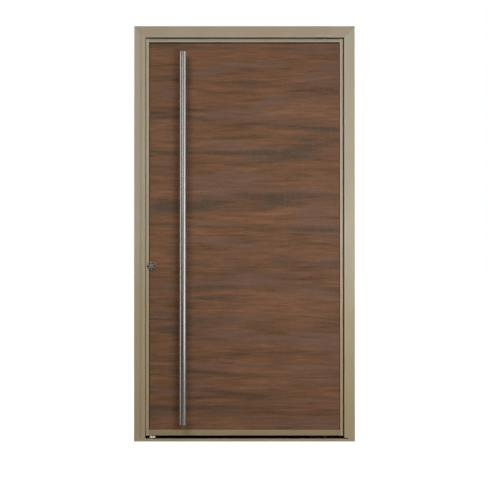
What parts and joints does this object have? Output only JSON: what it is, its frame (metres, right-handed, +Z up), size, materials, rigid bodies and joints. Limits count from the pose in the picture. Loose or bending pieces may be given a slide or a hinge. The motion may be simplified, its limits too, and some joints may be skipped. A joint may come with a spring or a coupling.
{
  "type": "pivot entry door",
  "caption": "Pivot entry door in its frame: a wood-faced leaf that turns on an offset floor pivot, with a tall round pull bar, a lock and a low threshold.",
  "frame": {"origin": "on the floor under the middle of the threshold, in the plane of the pivot axis", "axes": "+X to the right as seen from the street, -Y towards the street, +Z up"},
  "size_m": [1.318, 0.226, 2.48],
  "materials": {
    "champagne_metal": "fine satin powder coat, champagne",
    "black_plastic": "matt black polyamide",
    "black_rubber": "matt black seal",
    "plain_steel": "plain zinc-plated and stainless steel",
    "brushed_stainless": "satin ground stainless steel",
    "nickel_brass": "satin nickel on brass",
    "white_plastic": "white acetal",
    "walnut": "matt walnut veneer, grain across the leaf",
    "insulation": "rigid foam"
  },
  "bodies": {
    "frame": {"jamb_lock_outer": "champagne_metal", "jamb_lock_break": "black_plastic", "jamb_lock_inner": "champagne_metal", "jamb_pivot_outer": "champagne_metal", "jamb_pivot_break": "black_plastic", "jamb_pivot_inner": "champagne_metal", "head_outer": "champagne_metal", "head_break": "black_plastic", "head_inner": "champagne_metal", "threshold_base": "black_plastic", "threshold_nosing": "champagne_metal", "threshold_break": "black_plastic", "threshold_inner": "black_plastic", "seal_lock_jamb": "black_rubber", "seal_head": "black_rubber", "seal_pivot_jamb": "black_rubber", "strike_plate_main": "plain_steel", "strike_plates_hook": "plain_steel", "floor_pivot": "plain_steel", "head_pivot": "plain_steel", "run_up_block": "white_plastic"},
    "leaf": {"stile_lock_side": "champagne_metal", "stile_pivot_side": "champagne_metal", "rail_top": "champagne_metal", "rail_bottom": "champagne_metal", "drop_seal": "black_rubber", "drop_seal_pivot_side": "black_rubber", "pivot_shoe": "plain_steel", "top_socket": "plain_steel", "leaf_core": "insulation", "outer_panel": "walnut", "inner_panel": "walnut", "panel_seal_outside": "black_rubber", "panel_seal_inside": "black_rubber", "lock_faceplate": "plain_steel", "latch_bolt": "plain_steel", "dead_bolt": "plain_steel", "hook_bolts": "plain_steel", "lock_cylinder": "nickel_brass", "rosette_outside": "brushed_stainless", "rosette_inside": "brushed_stainless", "lever_rosette": "brushed_stainless", "thumb_turn": "brushed_stainless", "lever_handle": "brushed_stainless", "pull_bar": "brushed_stainless", "bar_cap_bottom": "brushed_stainless", "bar_cap_top": "brushed_stainless", "standoff_bottom": "brushed_stainless", "standoff_middle": "brushed_stainless", "standoff_top": "brushed_stainless"}
  },
  "joints": [
    {"name": "leaf_pivot", "type": "hinge", "parent": "frame", "child": "leaf", "pos_m": [0.481, 0, 0.03], "axis": [0, 0, -1], "range_deg": [0, 90]}
  ]
}
